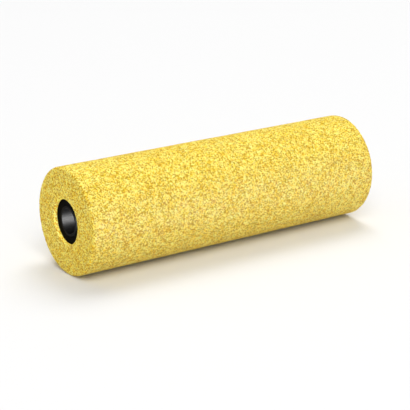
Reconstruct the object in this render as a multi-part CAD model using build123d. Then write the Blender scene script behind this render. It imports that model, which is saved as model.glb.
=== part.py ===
"""Foam paint roller cover (refill) for a bent-wire roller frame.

A foam sleeve is glued onto a plastic core tube. A flanged bush is pressed into each end of the
tube, and a full-length axle sleeve turns in the two bushes. The frame's wire pushes into the axle
sleeve, which grips it and stays still while the rest of the cover rolls round it.

Millimetres. The roller's axis is X, the near end is at -X, and the origin is the centre of the
roller. +Z is up when the roller lies on its side.
"""

import os

from build123d import *

# Foam sleeve
COVER_LENGTH = 110.0
COVER_DIAMETER = 34.5
COVER_EDGE_ROUND = 0.8  # the cut foam's outer corners are slightly rounded

# Core tube and the glue that holds the foam on it
CORE_DIAMETER = 14.4
CORE_WALL = 1.2
CORE_END_CHAMFER = 0.3
GLUE_THICKNESS = 0.1
GLUE_SETBACK = 2.0  # from each end of the core tube

# End bushes
END_RECESS = 1.1  # from the foam's end face down to the bush flange
FLANGE_THICKNESS = 1.0
FLANGE_EDGE_ROUND = 0.1
SPIGOT_LENGTH = 9.0
SPIGOT_SLACK = 0.1  # radial gap between the spigot and the tube, filled by the crushed ribs
SPIGOT_CHAMFER = 0.4
RIB_COUNT = 6
RIB_WIDTH = 1.2
RIB_SETBACK = 1.0  # from the spigot's inner end

# Axle sleeve
SLEEVE_DIAMETER = 9.6
SLEEVE_BORE = 8.06  # takes an 8 mm frame wire
SLEEVE_PROUD = 0.15  # how far each end stands out of the bush flange
SLEEVE_EDGE_ROUND = 0.08
RUNNING_CLEARANCE = 0.05  # radial, between the sleeve and a bush
SHOULDER_DIAMETER = 11.4
SHOULDER_WIDTH = 1.2
END_PLAY = 0.25  # between a shoulder and its bush
GRIP_SLOT_COUNT = 4
GRIP_SLOT_WIDTH = 1.0
GRIP_SLOT_LENGTH = 14.0
GRIP_CENTRE = 21.0  # along X, past the middle, where the wire's tip is held

# Worked out from the sizes above
FLANGE_FACE = COVER_LENGTH / 2 - END_RECESS
TUBE_END = FLANGE_FACE - FLANGE_THICKNESS
SPIGOT_END = TUBE_END - SPIGOT_LENGTH
SLEEVE_END = FLANGE_FACE + SLEEVE_PROUD
SHOULDER_FACE = SPIGOT_END - END_PLAY
CORE_RADIUS = CORE_DIAMETER / 2
TUBE_BORE_RADIUS = CORE_RADIUS - CORE_WALL
GLUE_RADIUS = CORE_RADIUS + GLUE_THICKNESS
BUSH_BORE_RADIUS = SLEEVE_DIAMETER / 2 + RUNNING_CLEARANCE

# A cylinder's own axis is Z, and this plane turns it onto X.
ACROSS = Plane.YZ


def ring(x_start, x_end, outer_radius, inner_radius=0.0):
    """A tube along X between two stations, or a disc where it has no bore."""
    length = x_end - x_start
    at = ACROSS.offset(x_start)
    low = (Align.CENTER, Align.CENTER, Align.MIN)
    solid = at * Cylinder(outer_radius, length, align=low)
    if inner_radius:
        solid -= at * Cylinder(inner_radius, length, align=low)
    return solid


def circular_edges(solid, x, radius):
    """The solid's circles of one radius at one station on the axis."""
    near = 1e-3
    return [
        edge
        for edge in solid.edges().filter_by(GeomType.CIRCLE)
        if abs(edge.radius - radius) < near and abs(edge.center().X - x) < near
    ]


def foam_cover():
    """The foam sleeve, with both outer corners rounded."""
    half, radius = COVER_LENGTH / 2, COVER_DIAMETER / 2
    sleeve = ring(-half, half, radius, GLUE_RADIUS)
    corners = circular_edges(sleeve, -half, radius) + circular_edges(sleeve, half, radius)
    return fillet(corners, COVER_EDGE_ROUND)


def glue_film():
    """The thin hot-melt film between the foam and the core."""
    end = TUBE_END - GLUE_SETBACK
    return ring(-end, end, GLUE_RADIUS, CORE_RADIUS)


def core_tube():
    """The plain plastic tube, chamfered inside both ends to lead the bushes in."""
    tube = ring(-TUBE_END, TUBE_END, CORE_RADIUS, TUBE_BORE_RADIUS)
    mouths = [e for x in (-TUBE_END, TUBE_END) for e in circular_edges(tube, x, TUBE_BORE_RADIUS)]
    return chamfer(mouths, CORE_END_CHAMFER)


def far_end_bush():
    """A flange that fills the foam's bore, a ribbed spigot inside the tube, and the bearing bore."""
    spigot_radius = TUBE_BORE_RADIUS - SPIGOT_SLACK
    flange = ring(TUBE_END, FLANGE_FACE, GLUE_RADIUS)
    flange = fillet(circular_edges(flange, FLANGE_FACE, GLUE_RADIUS), FLANGE_EDGE_ROUND)
    spigot = ring(SPIGOT_END, TUBE_END, spigot_radius)
    spigot = chamfer(circular_edges(spigot, SPIGOT_END, spigot_radius), SPIGOT_CHAMFER)
    rib_zone = ring(SPIGOT_END + RIB_SETBACK, TUBE_END - CORE_END_CHAMFER, TUBE_BORE_RADIUS)
    bush = flange + spigot
    for turn in range(RIB_COUNT):
        fin = Box(COVER_LENGTH, RIB_WIDTH, CORE_DIAMETER, align=(Align.MIN, Align.CENTER, Align.MIN))
        bush += rib_zone & (Rot(360 / RIB_COUNT * turn, 0, 0) * fin)
    return bush - ring(SPIGOT_END, FLANGE_FACE, BUSH_BORE_RADIUS)


def axle_sleeve():
    """The full-length sleeve that holds the wire, with a shoulder inside each bush and a slotted grip."""
    radius, bore = SLEEVE_DIAMETER / 2, SLEEVE_BORE / 2
    sleeve = ring(-SLEEVE_END, SLEEVE_END, radius)
    for side in (-1, 1):
        faces = sorted((side * SHOULDER_FACE, side * (SHOULDER_FACE - SHOULDER_WIDTH)))
        sleeve += ring(*faces, SHOULDER_DIAMETER / 2)
    sleeve -= ring(-SLEEVE_END, SLEEVE_END, bore)
    rims = [
        edge
        for x in (-SLEEVE_END, SLEEVE_END)
        for size in (radius, bore)
        for edge in circular_edges(sleeve, x, size)
    ]
    sleeve = fillet(rims, SLEEVE_EDGE_ROUND)
    for turn in range(GRIP_SLOT_COUNT):
        slot = Pos(GRIP_CENTRE, 0, 0) * extrude(
            SlotOverall(GRIP_SLOT_LENGTH, GRIP_SLOT_WIDTH), SLEEVE_DIAMETER
        )
        sleeve -= Rot(360 / GRIP_SLOT_COUNT * turn, 0, 0) * slot
    return sleeve


def write(shape, node):
    """Writes one named piece to its STEP file."""
    shape.label = node
    export_step(shape, f"parts/{node}.step")


os.makedirs("parts", exist_ok=True)
far_bush = far_end_bush()
write(foam_cover(), "foam_cover")
write(glue_film(), "glue_film")
write(core_tube(), "core_tube")
write(far_bush, "far_end_bush")
write(mirror(far_bush, about=Plane.YZ), "near_end_bush")
write(axle_sleeve(), "axle_sleeve")
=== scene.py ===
# Looks of a foam mini roller cover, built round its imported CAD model, in metres.
#
# The roller lies along X with its near end at -X. The foam is rebuilt here as a fine mesh with real
# pores, and every other piece keeps its CAD shape and gets a material.

import math

import bpy
import numpy as np
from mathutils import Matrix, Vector, noise


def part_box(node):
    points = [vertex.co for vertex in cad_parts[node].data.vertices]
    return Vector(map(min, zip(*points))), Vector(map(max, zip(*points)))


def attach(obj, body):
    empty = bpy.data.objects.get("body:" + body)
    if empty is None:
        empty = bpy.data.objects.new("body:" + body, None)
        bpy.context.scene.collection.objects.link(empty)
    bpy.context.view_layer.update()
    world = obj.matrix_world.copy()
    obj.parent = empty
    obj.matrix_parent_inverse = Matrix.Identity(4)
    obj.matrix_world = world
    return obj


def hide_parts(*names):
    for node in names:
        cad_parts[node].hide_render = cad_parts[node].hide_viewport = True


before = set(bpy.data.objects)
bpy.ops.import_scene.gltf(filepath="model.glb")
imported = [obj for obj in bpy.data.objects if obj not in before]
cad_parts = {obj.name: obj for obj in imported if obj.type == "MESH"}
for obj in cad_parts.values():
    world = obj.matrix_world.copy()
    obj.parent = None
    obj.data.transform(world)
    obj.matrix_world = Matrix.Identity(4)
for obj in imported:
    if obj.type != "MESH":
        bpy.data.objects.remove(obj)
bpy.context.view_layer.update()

MM = 0.001

# Sizes read from the frame
HALF_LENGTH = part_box("foam_cover")[1][0]
FOAM_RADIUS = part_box("foam_cover")[1][2]
FOAM_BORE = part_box("glue_film")[1][2]
FLANGE_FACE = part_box("far_end_bush")[1][0]

# Camera
VIEW_AZIMUTH = math.radians(-34.8)
VIEW_ELEVATION = math.radians(18.1)
VIEW_DISTANCE = 0.500
VIEW_RIGHT = -0.00205  # how far the point aimed at lies from the roller's centre
VIEW_UP = -0.0045
LENS_MM = 133.5
SENSOR_MM = 36

WORLD_LIGHT = 0.42  # how strongly the white surroundings light the roller
WORLD_SEEN = 0.9  # how bright they look behind it

# Foam mesh
AROUND = 276
SPACING = 0.39 * MM
EDGE_ROUND = 0.8 * MM
HOLE_ROUND = 0.2 * MM
HOLE_SNUG = 0.04 * MM  # the foam closes in on the flange past the end of the glue
JITTER = 0.3  # of the spacing
CELL = 1.15 * MM  # the larger pores
PORE_DEPTH = 0.16 * MM
GRAIN = 0.75 * MM
GRAIN_DEPTH = 0.07 * MM
SWELL = 9 * MM
SWELL_DEPTH = 0.06 * MM
STRUT_PROUD = 0.09 * MM  # the most that a strut may stand outside the CAD outline
PORE_REACH = 0.55  # how far a pore reaches from its centre, in cells
TUCK = 0.4 * MM  # how far the foam's skin goes on past the flange's face, out of sight
CUT_RELIEF = 0.5  # how deep the pores are on the cut ends, against the side
HOLE_RELIEF = 0.7  # and on the hole's rounded corner
WALL_RELIEF = 0.4  # and on the wall inside the hole
HOLE_STEPS = 2  # stations round the hole's corner
EDGE_STEPS = 3  # and round the outer corner
SEED = 11

# Foam colour. Each layer of tone has the size of its blobs and its weight.
SMALL_CELLS = (0.3 * MM, 1.95)
FINE_TONE = (0.5 * MM, 0.35)
BROAD_TONES = ((1.2 * MM, 0.60), (3.0 * MM, 0.75), (10 * MM, 0.26))
SPECK_SIZE = 1.0 * MM
SPECK_RANGE = (0.56, 0.72)  # the noise values between which a speck fades in
SPECK_WEIGHT = -0.45  # they are dark
SPECK_SHIFT = 0.19  # added to the specks' layer, to tune the side's mean tone
# Painted shade: the foam's colour is darker the deeper a point sits in a pore.
PORE_SHADE_WEIGHT = -0.10
CUT_CLOSE = 1.45  # weight of the small layers on the cut ends, against the side
CUT_BROAD = 0.3  # and of the broad ones
CUT_FULL = 0.3 * MM  # the cut ends' look is complete this far before the end face
MEAN_TONE = 0.38
FOAM_DARK = (0.53, 0.30, 0.002, 1)
FOAM_MIDDLE = (0.96, 0.685, 0.026, 1)
FOAM_LIGHT = (1.0, 0.87, 0.20, 1)
HUE_SIZE = 1.6 * MM
HUE_RANGE = (0.35, 0.65)  # the noise values between which the hue changes
COOL_TINT = (0.97, 1.03, 1.25, 1)
WARM_TINT = (1.04, 0.945, 0.75, 1)
CUT_TINT = (1.09, 1.02, 0.92, 1)  # the cut ends are a little redder than the buffed side
GLOSS_PATCH = 2.2 * MM  # patches of rougher and smoother foam
GLOSS_RANGE = (0.36, 0.64)  # the noise values between which the roughness changes
ROUGH_FOAM = (0.82, 0.5)  # roughness of the roughest and the smoothest patches
FOAM_GLOSS = 0.2
FOAM_BUMP = 0.09 * MM
PAINTED_RIM_GLOW = 0.35  # painted light: the foam's thin inner rim glows, lifting the shade in the recess by the flange
PAINTED_GLOW_WIDTH = 0.25 * MM

# Plastics
SKIN_GRAIN = 0.25 * MM
SKIN_BUMP = 0.01 * MM
CLOUD_SIZE = 2.5 * MM
PLASTIC_RANGE = (0.3, 0.7)  # the noise values between which tone and scuffs change
SCUFF = (-0.08, 0.10)  # how far scuffs take the roughness down and up

# Studio
FLOOR_REACH = 3.0
FLOOR_TONE = (0.81, 0.81, 0.81, 1)
LIGHT_DISTANCE = 3.0
LIGHT_SIZE = (1.8, 1.8)
CARD_DISTANCE = 0.6
CARD_SIZE = (0.2, 0.7)
CARD_TOWARDS = (0.3, -0.95, -0.03)  # from the roller


def basis(azimuth, elevation):
    """The right, up and backward directions of a camera at this angle."""
    back = Vector((
        math.sin(azimuth) * math.cos(elevation),
        -math.cos(azimuth) * math.cos(elevation),
        math.sin(elevation),
    ))
    right = Vector((math.cos(azimuth), math.sin(azimuth), 0))
    return right, back.cross(right), back


def add_camera():
    """The one camera, at the photograph's angle, aimed a little off the roller's centre."""
    right, up, back = basis(VIEW_AZIMUTH, VIEW_ELEVATION)
    camera = bpy.data.objects.new("camera", bpy.data.cameras.new("camera"))
    camera.data.lens = LENS_MM
    camera.data.sensor_width = SENSOR_MM
    camera.data.clip_start = 0.01
    camera.location = right * VIEW_RIGHT + up * VIEW_UP + back * VIEW_DISTANCE
    camera.rotation_euler = back.to_track_quat("Z", "Y").to_euler()
    bpy.context.collection.objects.link(camera)
    bpy.context.scene.camera = camera


# ---------------------------------------------------------------- node helpers


def new_material(name):
    """An empty node material, with its Principled shader wired to the output."""
    material = bpy.data.materials.new(name)
    material.use_nodes = True
    tree = material.node_tree
    tree.nodes.clear()
    output = tree.nodes.new("ShaderNodeOutputMaterial")
    shader = tree.nodes.new("ShaderNodeBsdfPrincipled")
    tree.links.new(shader.outputs["BSDF"], output.inputs["Surface"])
    return material, tree, shader


def put(tree, kind, inputs=None, **settings):
    """Adds a node, sets its properties, and fills its inputs with values or links."""
    made = tree.nodes.new(kind)
    for key, value in settings.items():
        setattr(made, key, value)
    for key, value in (inputs or {}).items():
        if isinstance(value, bpy.types.NodeSocket):
            tree.links.new(value, made.inputs[key])
        else:
            made.inputs[key].default_value = value
    return made


def place(tree, stretch=(1, 1, 1)):
    """The piece's own coordinates, in metres, stretched along its axes."""
    where = put(tree, "ShaderNodeTexCoord").outputs["Object"]
    return put(tree, "ShaderNodeMapping", {"Vector": where, "Scale": stretch}).outputs["Vector"]


def grain(tree, where, size, detail=2.0, roughness=0.5):
    """Perlin noise with blobs of about this size, from 0 to 1."""
    made = put(
        tree,
        "ShaderNodeTexNoise",
        {"Vector": where, "Scale": 1 / size, "Detail": detail, "Roughness": roughness},
    )
    return made.outputs["Fac"]


def random_cells(tree, where, size):
    """A random value for each small cell of foam, from 0 to 1."""
    made = put(tree, "ShaderNodeTexVoronoi", {"Vector": where, "Scale": 1 / size}, feature="F1")
    return put(tree, "ShaderNodeSeparateColor", {"Color": made.outputs["Color"]}).outputs[0]


def spread(tree, value, low, high, to_low=0.0, to_high=1.0):
    """Maps the range low to high onto another range, and clamps it."""
    made = put(
        tree,
        "ShaderNodeMapRange",
        {"Value": value, "From Min": low, "From Max": high, "To Min": to_low, "To Max": to_high},
        clamp=True,
    )
    return made.outputs["Result"]


def maths(tree, operation, first, second):
    """One step of arithmetic on two values."""
    return put(tree, "ShaderNodeMath", {0: first, 1: second}, operation=operation).outputs[0]


def blend(tree, share, first, second):
    """A colour between two colours."""
    made = put(tree, "ShaderNodeMix", data_type="RGBA")
    for socket, value in zip((made.inputs[0], made.inputs[6], made.inputs[7]), (share, first, second)):
        if isinstance(value, bpy.types.NodeSocket):
            tree.links.new(value, socket)
        else:
            socket.default_value = value
    return made.outputs[2]


def weighed(tree, layers):
    """The sum of some values, each taken from its middle and given its own weight."""
    total = 0.0
    for layer, weight in layers:
        swing = maths(tree, "MULTIPLY", maths(tree, "SUBTRACT", layer, 0.5), weight)
        total = maths(tree, "ADD", total, swing)
    return total


def times(tree, first, second):
    """Two colours multiplied, and kept to at most 1."""
    made = put(tree, "ShaderNodeMix", {0: 1.0}, data_type="RGBA", blend_type="MULTIPLY", clamp_result=True)
    tree.links.new(first, made.inputs[6])
    tree.links.new(second, made.inputs[7])
    return made.outputs[2]


def bump(tree, shader, height, distance):
    """Gives the shader a bump from a height."""
    made = put(tree, "ShaderNodeBump", {"Height": height, "Distance": distance, "Strength": 1.0})
    tree.links.new(made.outputs["Normal"], shader.inputs["Normal"])


# ---------------------------------------------------------------- materials


def foam_material():
    """Open-cell yellow foam: grainy, mottled, with warmer patches, pores darkened by painted shade against
    paler struts, and a painted glow on the thin inner rim.
    """
    material, tree, shader = new_material("foam")
    where = place(tree)
    # Each point's pore depth, turned below into painted shade in the pores.
    depth = put(tree, "ShaderNodeAttribute", attribute_name="depth").outputs["Fac"]
    cells = random_cells(tree, where, SMALL_CELLS[0])
    fine = grain(tree, where, FINE_TONE[0], 1.0)
    speck_noise = grain(tree, where, SPECK_SIZE, 1.0)
    specks = spread(tree, speck_noise, *SPECK_RANGE, SPECK_SHIFT, 1 + SPECK_SHIFT)
    along = put(tree, "ShaderNodeSeparateXYZ", {"Vector": where}).outputs["X"]
    from_middle = maths(tree, "ABSOLUTE", along, 0.0)
    cut = spread(tree, from_middle, HALF_LENGTH - EDGE_ROUND, HALF_LENGTH - CUT_FULL)
    tones = [(grain(tree, where, size, 1.0), weight) for size, weight in BROAD_TONES]
    close = weighed(tree, ((cells, SMALL_CELLS[1]), (fine, FINE_TONE[1])))
    broad = weighed(tree, (*tones, (specks, SPECK_WEIGHT), (depth, PORE_SHADE_WEIGHT)))
    close = maths(tree, "MULTIPLY", close, spread(tree, cut, 0, 1, 1.0, CUT_CLOSE))
    broad = maths(tree, "MULTIPLY", broad, spread(tree, cut, 0, 1, 1.0, CUT_BROAD))
    tone = maths(tree, "ADD", maths(tree, "ADD", close, broad), MEAN_TONE)
    ramp = put(tree, "ShaderNodeValToRGB", {"Fac": tone})
    stops = ramp.color_ramp.elements
    stops[0].color = FOAM_DARK
    stops[1].color = FOAM_LIGHT
    stops.new(0.5).color = FOAM_MIDDLE
    warmth = spread(tree, grain(tree, where, HUE_SIZE, 2.0), *HUE_RANGE)
    colour = times(tree, ramp.outputs["Color"], blend(tree, warmth, COOL_TINT, WARM_TINT))
    colour = times(tree, colour, blend(tree, cut, (1, 1, 1, 1), CUT_TINT))
    tree.links.new(colour, shader.inputs["Base Color"])
    across = put(tree, "ShaderNodeVectorMath", {0: where, 1: (0, 1, 1)}, operation="MULTIPLY").outputs[0]
    radius = put(tree, "ShaderNodeVectorMath", {0: across}, operation="LENGTH").outputs["Value"]
    # Painted glow: the foam's own colour is emitted on its thin inner rim, to lift the shade in the
    # recess.
    rim = spread(tree, radius, FOAM_BORE, FOAM_BORE + PAINTED_GLOW_WIDTH, PAINTED_RIM_GLOW, 0.0)
    tree.links.new(colour, shader.inputs["Emission Color"])
    tree.links.new(rim, shader.inputs["Emission Strength"])
    rough = spread(tree, grain(tree, where, GLOSS_PATCH, 2.0), *GLOSS_RANGE, *ROUGH_FOAM)
    tree.links.new(rough, shader.inputs["Roughness"])
    shader.inputs["Specular IOR Level"].default_value = FOAM_GLOSS
    bump(tree, shader, maths(tree, "ADD", cells, fine), FOAM_BUMP)
    return material


def plastic_material(name, dark, light, rough, gloss=0.5, streak=1.0):
    """Plastic or glue: fine satin skin, faint tone changes drawn out along X, slight scuffs."""
    material, tree, shader = new_material(name)
    where = place(tree, (1 / streak, 1, 1))
    skin = grain(tree, where, SKIN_GRAIN, 3.0, 0.6)
    cloud = grain(tree, where, CLOUD_SIZE, 2.0)
    colour = blend(tree, spread(tree, cloud, *PLASTIC_RANGE), (*dark, 1), (*light, 1))
    tree.links.new(colour, shader.inputs["Base Color"])
    scuff = spread(tree, skin, *PLASTIC_RANGE, rough + SCUFF[0], rough + SCUFF[1])
    tree.links.new(scuff, shader.inputs["Roughness"])
    shader.inputs["Specular IOR Level"].default_value = gloss
    bump(tree, shader, skin, SKIN_BUMP)
    return material


# ---------------------------------------------------------------- foam mesh


def foam_profile():
    """Stations round the foam's section: along X, radius, outward normal, and share of the pores."""
    stations = []
    bore = FOAM_BORE - HOLE_SNUG

    def run(start, end, normal, share=1.0):
        """A straight run of stations, without its last point."""
        steps = max(1, round(math.dist(start, end) / SPACING))
        for step in range(steps):
            t = step / steps
            x = start[0] + (end[0] - start[0]) * t
            radius = start[1] + (end[1] - start[1]) * t
            stations.append((x, radius, *normal, share))

    def bend(centre, size, first, last, steps, share=1.0):
        """A rounded corner from one normal angle to another, in degrees from +X towards +radius."""
        for step in range(steps):
            angle = math.radians(first + (last - first) * step / steps)
            out = (math.cos(angle), math.sin(angle))
            stations.append((centre[0] + size * out[0], centre[1] + size * out[1], *out, share))

    half, outer = HALF_LENGTH, FOAM_RADIUS
    side, rim, mouth = half - EDGE_ROUND, outer - EDGE_ROUND, bore + HOLE_ROUND
    deep = FLANGE_FACE - TUCK
    run((deep, bore), (half - HOLE_ROUND, bore), (0, -1), WALL_RELIEF)
    bend((half - HOLE_ROUND, mouth), HOLE_ROUND, -90, 0, HOLE_STEPS, HOLE_RELIEF)
    run((half, mouth), (half, rim), (1, 0), CUT_RELIEF)
    bend((side, rim), EDGE_ROUND, 0, 90, EDGE_STEPS)
    run((side, outer), (-side, outer), (0, 1))
    bend((-side, rim), EDGE_ROUND, 90, 180, EDGE_STEPS)
    run((-half, rim), (-half, mouth), (-1, 0), CUT_RELIEF)
    bend((-half + HOLE_ROUND, mouth), HOLE_ROUND, 180, 270, HOLE_STEPS, HOLE_RELIEF)
    run((-half + HOLE_ROUND, bore), (-deep, bore), (0, -1), WALL_RELIEF)
    stations.append((-deep, bore, 0, -1, 0.0))
    return stations


def relief(point):
    """How far the foam's skin lies below its outline at a point, and how deep in a pore that is."""
    near = noise.voronoi(point / CELL, distance_metric="DISTANCE")[0]
    pore = max(0.0, 1 - near[0] / PORE_REACH)
    pore = pore * pore * (3 - 2 * pore)
    rough = 0.5 - 0.5 * noise.noise(point / GRAIN)
    swell = 0.5 + 0.5 * noise.noise(point / SWELL)
    return pore * PORE_DEPTH + rough * GRAIN_DEPTH + swell * SWELL_DEPTH - STRUT_PROUD, pore


def foam_points(stations):
    """A ring of points round X for each station, sunk by the relief, and each point's pore depth."""
    draws = np.random.default_rng(SEED)
    points, depths = [], []
    for row, (x, radius, out_x, out_r, share) in enumerate(stations):
        inner = row in (0, len(stations) - 1)
        slip = (0 if inner else JITTER) * draws.uniform(-1, 1, (AROUND, 2))
        for column in range(AROUND):
            angle = 2 * math.pi * (column + 0.5 * (row % 2) + slip[column, 0]) / AROUND
            along = SPACING * slip[column, 1] * share
            at_x = x - out_r * along
            at_r = radius + out_x * along
            outline = Vector((at_x, at_r * math.cos(angle), at_r * math.sin(angle)))
            down, pore = relief(outline)
            at_x -= out_x * down * share
            at_r -= out_r * down * share
            points.append((at_x, at_r * math.cos(angle), at_r * math.sin(angle)))
            depths.append(pore * share)
    return points, depths


def ring_faces(rows):
    """Faces that join each ring to the next, and the last ring to the first."""
    faces = []
    for row in range(rows):
        after = (row + 1) % rows
        for column in range(AROUND):
            beside = (column + 1) % AROUND
            faces.append((
                row * AROUND + column,
                after * AROUND + column,
                after * AROUND + beside,
                row * AROUND + beside,
            ))
    return faces


def foam_piece():
    """The foam sleeve as one closed, finely pored mesh."""
    stations = foam_profile()
    points, depths = foam_points(stations)
    faces = ring_faces(len(stations))
    mesh = bpy.data.meshes.new("foam_sleeve")
    mesh.from_pydata(points, [], faces)
    mesh.validate()
    # The pore depth, which the foam material turns into painted shade.
    mesh.attributes.new("depth", "FLOAT", "POINT").data.foreach_set("value", depths)
    mesh.polygons.foreach_set("use_smooth", [True] * len(faces))
    mesh.update()
    piece = bpy.data.objects.new("foam_sleeve", mesh)
    bpy.context.collection.objects.link(piece)
    piece.data.materials.append(foam_material())
    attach(piece, "cover")
    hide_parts("foam_cover")
    return piece


# ---------------------------------------------------------------- studio


def add_floor():
    """A plain pale floor under the roller."""
    mesh = bpy.data.meshes.new("floor")
    signs = ((-1, -1), (1, -1), (1, 1), (-1, 1))
    corners = [(x * FLOOR_REACH, y * FLOOR_REACH, -FOAM_RADIUS) for x, y in signs]
    mesh.from_pydata(corners, [], [(0, 1, 2, 3)])
    floor = bpy.data.objects.new("floor", mesh)
    bpy.context.collection.objects.link(floor)
    material, _, shader = new_material("floor")
    shader.inputs["Base Color"].default_value = FLOOR_TONE
    shader.inputs["Roughness"].default_value = 1.0
    shader.inputs["Specular IOR Level"].default_value = 0.0
    mesh.materials.append(material)


def add_light(name, towards, distance, size, power):
    """A soft rectangular light, in the direction given from the roller, facing it."""
    data = bpy.data.lights.new(name, "AREA")
    data.shape = "RECTANGLE"
    data.size, data.size_y = size
    data.energy = power
    light = bpy.data.objects.new(name, data)
    back = Vector(towards).normalized()
    light.location = back * distance
    light.rotation_euler = back.to_track_quat("Z", "Y").to_euler()
    light.visible_camera = False
    bpy.context.collection.objects.link(light)
    return light


def add_gloss_card(name, power, receiver):
    """A tall card at the front right that only adds a soft band of gloss, and only to one piece."""
    light = add_light(name, CARD_TOWARDS, CARD_DISTANCE, CARD_SIZE, power)
    light.data.use_shadow = False
    light.visible_diffuse = False
    lit = bpy.data.collections.new(name)
    lit.objects.link(receiver)
    light.light_linking.receiver_collection = lit


def add_world():
    """Even white light from all round, seen brighter than it shines."""
    world = bpy.data.worlds.new("studio")
    world.use_nodes = True
    tree = world.node_tree
    seen = put(tree, "ShaderNodeLightPath").outputs["Is Camera Ray"]
    background = tree.nodes["Background"]
    background.inputs["Color"].default_value = (1, 1, 1, 1)
    tree.links.new(spread(tree, seen, 0, 1, WORLD_LIGHT, WORLD_SEEN), background.inputs["Strength"])
    bpy.context.scene.world = world


def give(node, material):
    """Puts a material on a CAD node."""
    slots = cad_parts[node].data.materials
    slots.clear()
    slots.append(material)


add_camera()
add_floor()
add_world()
add_light("top_back", (0.3, 0.3, 0.9), LIGHT_DISTANCE, LIGHT_SIZE, power=48.0)
add_light("front_left", (-0.33, -0.6, 0.7), LIGHT_DISTANCE, LIGHT_SIZE, power=52.5)
add_gloss_card("foam_gloss", power=16.0, receiver=foam_piece())
add_gloss_card("bore_gloss", power=108.0, receiver=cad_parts["axle_sleeve"])

bush = plastic_material(
    "bush_plastic", dark=(0.0015, 0.0015, 0.0017), light=(0.003, 0.003, 0.0033), rough=0.5, gloss=0.01
)
core = plastic_material(
    "core_plastic", dark=(0.008, 0.008, 0.009), light=(0.016, 0.016, 0.017), rough=0.55, streak=12
)
sleeve = plastic_material(
    "sleeve_plastic",
    dark=(0.002, 0.002, 0.0022),
    light=(0.004, 0.004, 0.0043),
    rough=0.5,
    gloss=0.048,
    streak=8,
)
glue = plastic_material("glue", dark=(0.5, 0.42, 0.24), light=(0.68, 0.62, 0.48), rough=0.35)
give("near_end_bush", bush)
give("far_end_bush", bush)
give("core_tube", core)
give("axle_sleeve", sleeve)
give("glue_film", glue)

bpy.context.scene.view_settings.view_transform = "Standard"
